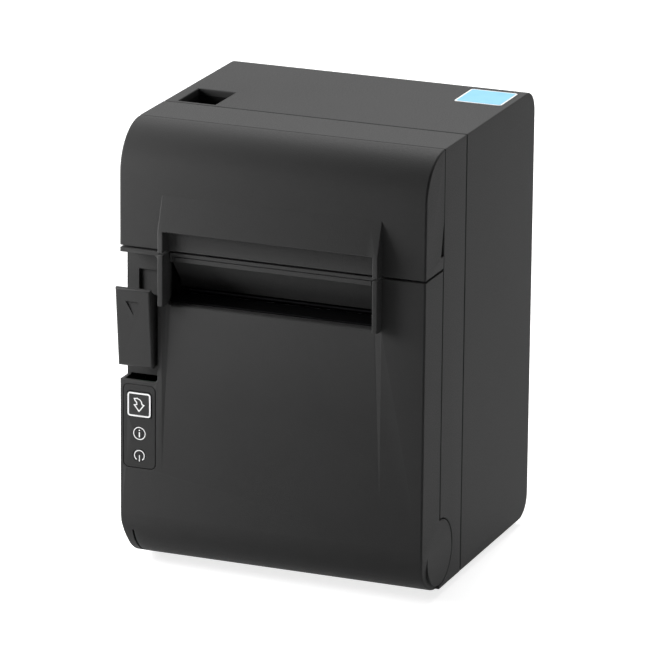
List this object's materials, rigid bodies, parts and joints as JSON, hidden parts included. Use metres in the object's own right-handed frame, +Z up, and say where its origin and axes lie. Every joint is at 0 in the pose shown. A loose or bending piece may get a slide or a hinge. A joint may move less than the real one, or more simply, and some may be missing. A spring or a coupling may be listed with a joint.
{
  "type": "receipt printer",
  "caption": "Upright receipt printer with a front paper slot, drop-down front door, release lever, feed button and an inner thermal print and cutter mechanism.",
  "frame": {"origin": "on the surface the feet stand on, under the middle of the whole printer", "axes": "+X to the printer's left-to-right as seen from the front, +Y to the back, +Z up"},
  "size_m": [0.119, 0.1186, 0.1691],
  "materials": {
    "casing_plastic": "fine moulded texture",
    "inner_plastic": "plain moulded",
    "panel_plastic": "smooth overlay",
    "lens_plastic": "smooth",
    "circuit_board": "lacquered",
    "steel": "rolled",
    "spring_steel": "drawn wire",
    "bush_plastic": "plain moulded",
    "gear_plastic": "plain moulded",
    "rubber": "matt",
    "brass": "turned",
    "motor_metal": "plated",
    "ceramic_plate": "glazed ceramic",
    "aluminium": "extruded",
    "label_film": "printed film"
  },
  "bodies": {
    "chassis": {"rear_casing": "casing_plastic", "front_casing": "casing_plastic", "upper_front_cover": "casing_plastic", "main_board": "circuit_board", "latch_catch": "steel", "hinge_pins": "steel", "gear_post": "steel", "feed_motor": "motor_metal", "thermal_head": "ceramic_plate", "head_heatsink": "aluminium", "head_springs": "spring_steel", "paper_sensor": "inner_plastic", "mechanism_frame": "steel", "paper_guide": "inner_plastic", "tear_bar": "steel", "cutter_tray": "steel", "cutter_motor": "motor_metal", "roll_cradle": "inner_plastic", "casing_screws": "steel", "power_inlet": "inner_plastic", "usb_socket": "steel", "network_socket": "steel", "drawer_socket": "inner_plastic", "connector_plate": "inner_plastic", "switch_housing": "inner_plastic", "roof_label": "label_film", "rubber_feet": "rubber"},
    "door": {"front_door": "casing_plastic", "platen_carrier": "steel", "platen_bushes": "bush_plastic", "fixed_blade": "steel", "control_board": "circuit_board", "control_panel": "panel_plastic", "indicator_lenses": "lens_plastic", "lever_spring": "spring_steel"},
    "lever": {"release_lever": "casing_plastic", "latch_bar": "steel"},
    "button": {"feed_button": "panel_plastic"},
    "platen": {"platen_shaft": "steel", "platen_rubber": "rubber", "platen_gear": "gear_plastic"},
    "idler": {"idler_gear": "gear_plastic"},
    "motor_rotor": {"motor_pinion": "brass"},
    "cutter_blade": {"moving_blade": "steel"},
    "cutter_rotor": {"cutter_pinion": "brass"},
    "rocker": {"power_rocker": "inner_plastic"}
  },
  "joints": [
    {"name": "door_hinge", "type": "hinge", "parent": "chassis", "child": "door", "pos_m": [0, -0.03575, 0.0168], "axis": [1, 0, 0], "range_deg": [0, 60]},
    {"name": "lever_slide", "type": "slide", "parent": "door", "child": "lever", "axis": [0, 0, -1], "range_m": [0, 0.003], "stiffness_N_per_m": 400, "springref_m": -0.003, "deforming": ["lever_spring"]},
    {"name": "feed_button_press", "type": "slide", "parent": "door", "child": "button", "axis": [0, 1, 0], "range_m": [0, 0.0008], "stiffness_N_per_m": 800, "springref_m": -0.0008},
    {"name": "platen_spin", "type": "hinge", "parent": "door", "child": "platen", "pos_m": [0, -0.04275, 0.0965], "axis": [1, 0, 0], "continuous": true},
    {"name": "idler_spin", "type": "hinge", "parent": "chassis", "child": "idler", "pos_m": [0, -0.02512, 0.09804], "axis": [1, 0, 0], "continuous": true},
    {"name": "motor_spin", "type": "hinge", "parent": "chassis", "child": "motor_rotor", "pos_m": [0, -0.01074, 0.10328], "axis": [1, 0, 0], "continuous": true},
    {"name": "cutter_slide", "type": "slide", "parent": "chassis", "child": "cutter_blade", "axis": [0, -1, 0], "range_m": [0, 0.005]},
    {"name": "cutter_spin", "type": "hinge", "parent": "chassis", "child": "cutter_rotor", "pos_m": [-0.024, -0.01775, 0.1049], "axis": [0, 0, 1], "range_deg": [-72, 0]},
    {"name": "power_rocker_tilt", "type": "hinge", "parent": "chassis", "child": "rocker", "pos_m": [-0.0474, -0.002, 0.1586], "axis": [1, 0, 0], "range_deg": [0, 14]}
  ],
  "couplings": [
    {"joint": "idler_spin", "follows": "platen_spin", "ratio": -0.69231},
    {"joint": "motor_spin", "follows": "platen_spin", "ratio": 1.5},
    {"joint": "cutter_spin", "follows": "cutter_slide", "rad_per_m": -250}
  ]
}
